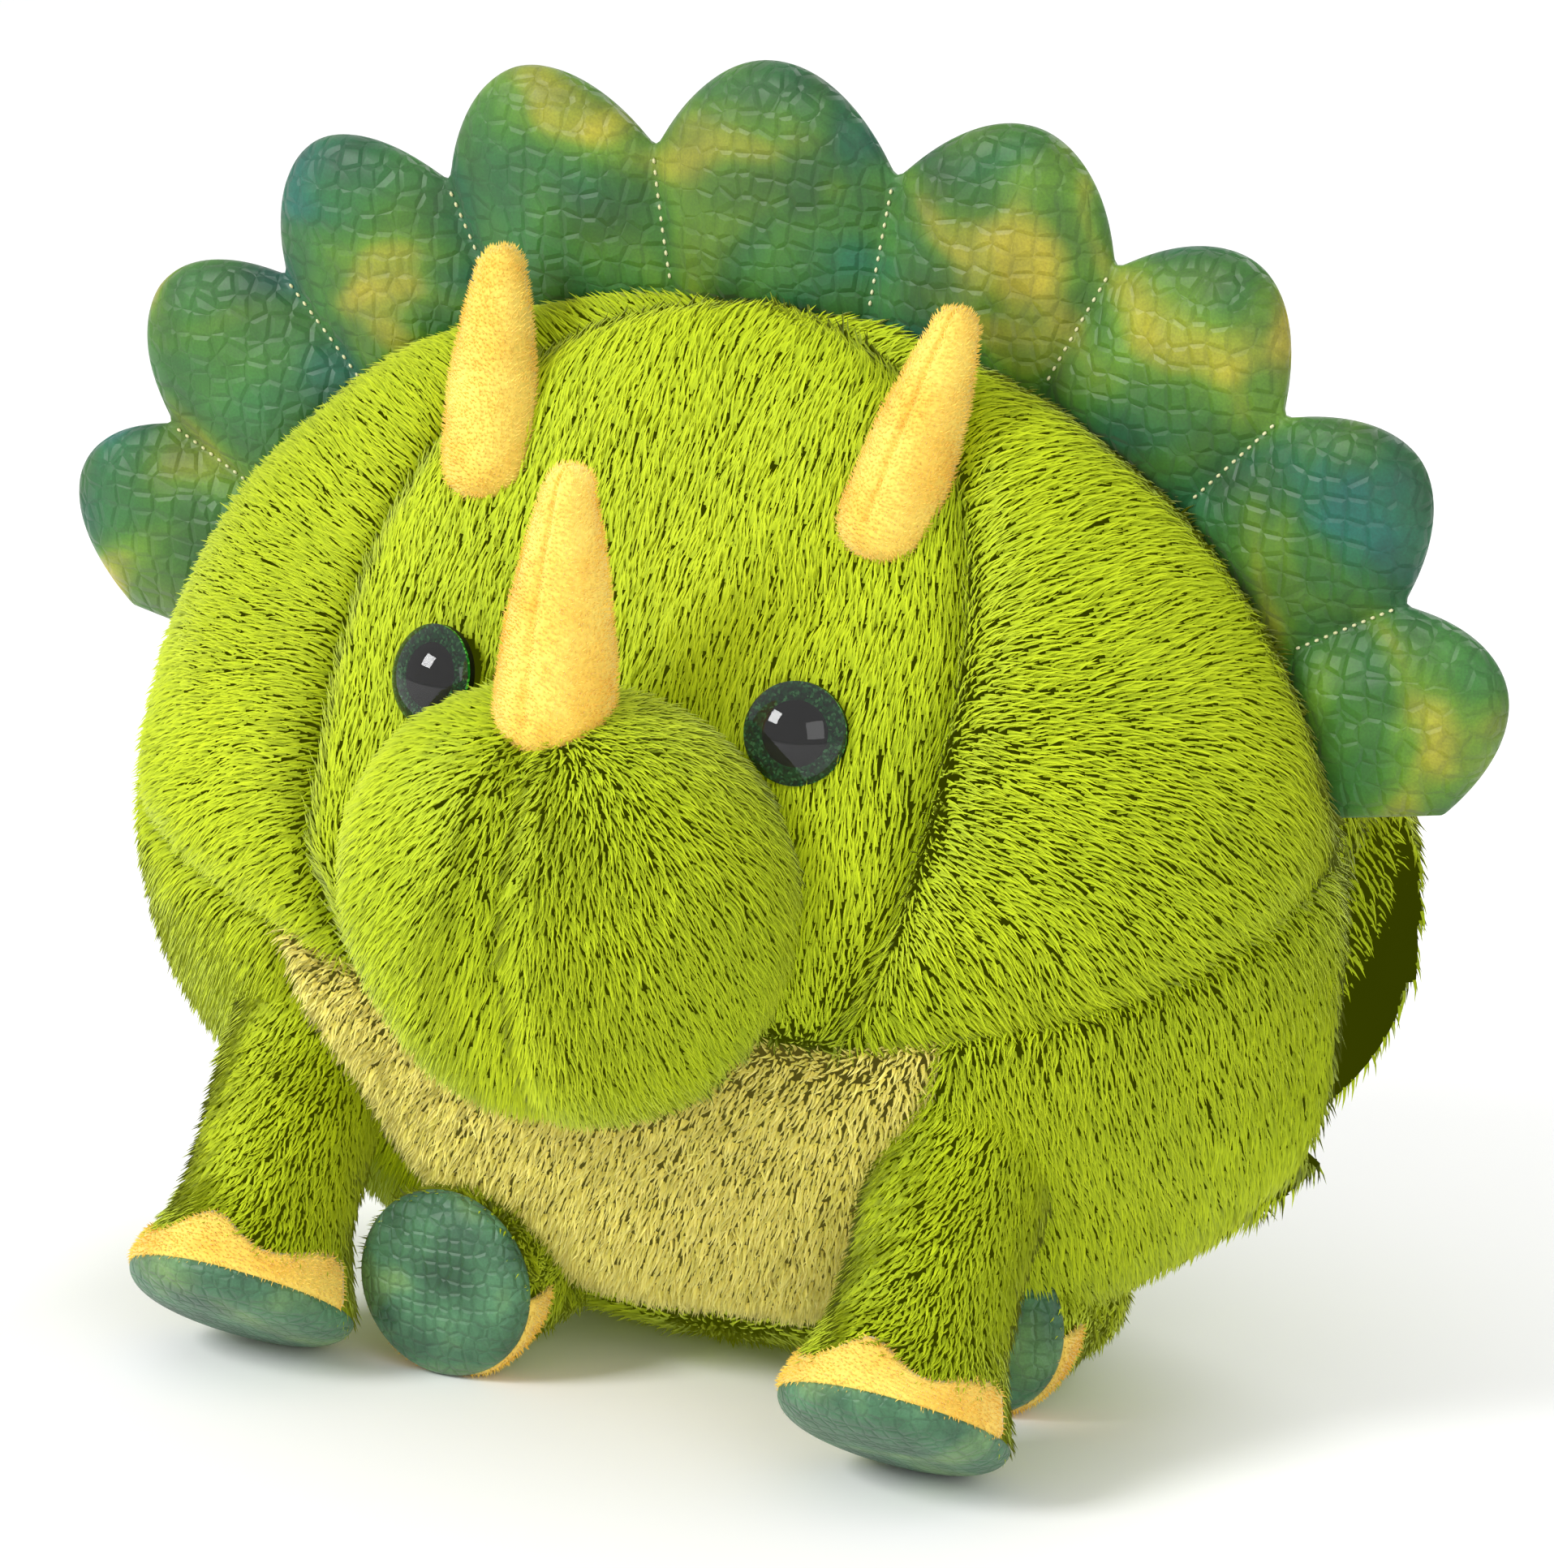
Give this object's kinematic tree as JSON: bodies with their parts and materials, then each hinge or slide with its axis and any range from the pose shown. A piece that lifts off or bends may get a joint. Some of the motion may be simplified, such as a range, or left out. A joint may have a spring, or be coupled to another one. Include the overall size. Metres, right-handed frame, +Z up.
{
  "type": "stuffed dinosaur",
  "caption": "Round plush horned dinosaur pillow with a scalloped padded frill, stubby legs, soft horns, safety eyes and a hand-warmer tunnel from side to side.",
  "frame": {"origin": "on the supporting surface, under the middle of the object's box", "axes": "+Z up, the face looks along -Y, +X is the dinosaur's own left side; all but the rear legs mirrors in X = 0"},
  "size_m": [0.4668, 0.3154, 0.368],
  "materials": {
    "lime_plush": "short-pile faux fur, combed",
    "belly_plush": "curly short plush",
    "fibre_filling": "loose polyester fibre",
    "yellow_velour": "short velour",
    "frill_velour": "printed velour with an embossed scale pattern",
    "frill_backing": "plain velour",
    "sole_velour": "printed embossed velour",
    "eye_lens": "clear polished plastic",
    "eye_glitter": "glitter behind clear plastic",
    "black_plastic": "polished",
    "washer_plastic": "plain"
  },
  "bodies": {
    "root": {"forehead_panel": "lime_plush", "head_panel_left": "lime_plush", "head_panel_right": "lime_plush", "side_panel_left": "lime_plush", "side_panel_right": "lime_plush", "belly_panel": "belly_plush", "back_panel_left": "lime_plush", "back_panel_right": "lime_plush", "base_panel": "lime_plush", "head_filling": "fibre_filling", "back_filling": "fibre_filling", "pocket_lining": "lime_plush", "muzzle_skin_left": "lime_plush", "muzzle_skin_right": "lime_plush", "muzzle_filling": "fibre_filling", "frill_front": "frill_velour", "frill_padding": "fibre_filling", "frill_back": "frill_backing", "eye_lens_left": "eye_lens", "eye_lens_right": "eye_lens", "eye_iris_left": "eye_glitter", "eye_iris_right": "eye_glitter", "eye_pupil_left": "black_plastic", "eye_pupil_right": "black_plastic", "eye_shank_left": "black_plastic", "eye_shank_right": "black_plastic", "eye_washer_left": "washer_plastic", "eye_washer_right": "washer_plastic"},
    "nose_horn": {"nose_horn_skin": "yellow_velour", "nose_horn_filling": "fibre_filling"},
    "tail": {"tail_skin": "lime_plush", "tail_filling": "fibre_filling"},
    "brow_horn_left": {"brow_horn_skin_left": "yellow_velour", "brow_horn_filling_left": "fibre_filling"},
    "front_leg_left": {"front_leg_sleeve_left": "lime_plush", "front_toe_cap_left": "yellow_velour", "front_sole_left": "sole_velour", "front_leg_filling_left": "fibre_filling"},
    "rear_leg_left": {"rear_leg_sleeve_left": "lime_plush", "rear_toe_cap_left": "yellow_velour", "rear_sole_left": "sole_velour", "rear_leg_filling_left": "fibre_filling"},
    "brow_horn_right": {"brow_horn_skin_right": "yellow_velour", "brow_horn_filling_right": "fibre_filling"},
    "front_leg_right": {"front_leg_sleeve_right": "lime_plush", "front_toe_cap_right": "yellow_velour", "front_sole_right": "sole_velour", "front_leg_filling_right": "fibre_filling"},
    "rear_leg_right": {"rear_leg_sleeve_right": "lime_plush", "rear_toe_cap_right": "yellow_velour", "rear_sole_right": "sole_velour", "rear_leg_filling_right": "fibre_filling"}
  },
  "joints": [
    {"name": "nose_horn_bend", "type": "hinge", "parent": "root", "child": "nose_horn", "pos_m": [0, -0.122, 0.214], "axis": [1, 0, 0], "range_deg": [-15, 15], "stiffness_Nm_per_rad": 0.2},
    {"name": "brow_horn_left_bend", "type": "hinge", "parent": "root", "child": "brow_horn_left", "pos_m": [0.062, -0.052, 0.258], "axis": [0.9781, 0, -0.2079], "range_deg": [-15, 15], "stiffness_Nm_per_rad": 0.2},
    {"name": "front_leg_left_swing", "type": "hinge", "parent": "root", "child": "front_leg_left", "pos_m": [0.105, -0.066, 0.095], "axis": [-1, 0, 0], "range_deg": [-5, 25], "stiffness_Nm_per_rad": 0.6},
    {"name": "rear_leg_left_drop", "type": "hinge", "parent": "root", "child": "rear_leg_left", "pos_m": [0.094, 0, 0.0275], "axis": [1, 0, 0], "range_deg": [0, 24], "stiffness_Nm_per_rad": 0.6},
    {"name": "brow_horn_right_bend", "type": "hinge", "parent": "root", "child": "brow_horn_right", "pos_m": [-0.062, -0.052, 0.258], "axis": [0.9781, 0, 0.2079], "range_deg": [-15, 15], "stiffness_Nm_per_rad": 0.2},
    {"name": "front_leg_right_swing", "type": "hinge", "parent": "root", "child": "front_leg_right", "pos_m": [-0.105, -0.066, 0.095], "axis": [-1, 0, 0], "range_deg": [-5, 25], "stiffness_Nm_per_rad": 0.6},
    {"name": "rear_leg_right_drop", "type": "hinge", "parent": "root", "child": "rear_leg_right", "pos_m": [-0.05, -0.05, 0.0275], "axis": [1, 0, 0], "range_deg": [0, 24], "stiffness_Nm_per_rad": 0.6},
    {"name": "tail_wag", "type": "hinge", "parent": "root", "child": "tail", "pos_m": [0, 0.094, 0.064], "axis": [0, 0, 1], "range_deg": [-15, 15], "stiffness_Nm_per_rad": 0.6}
  ]
}
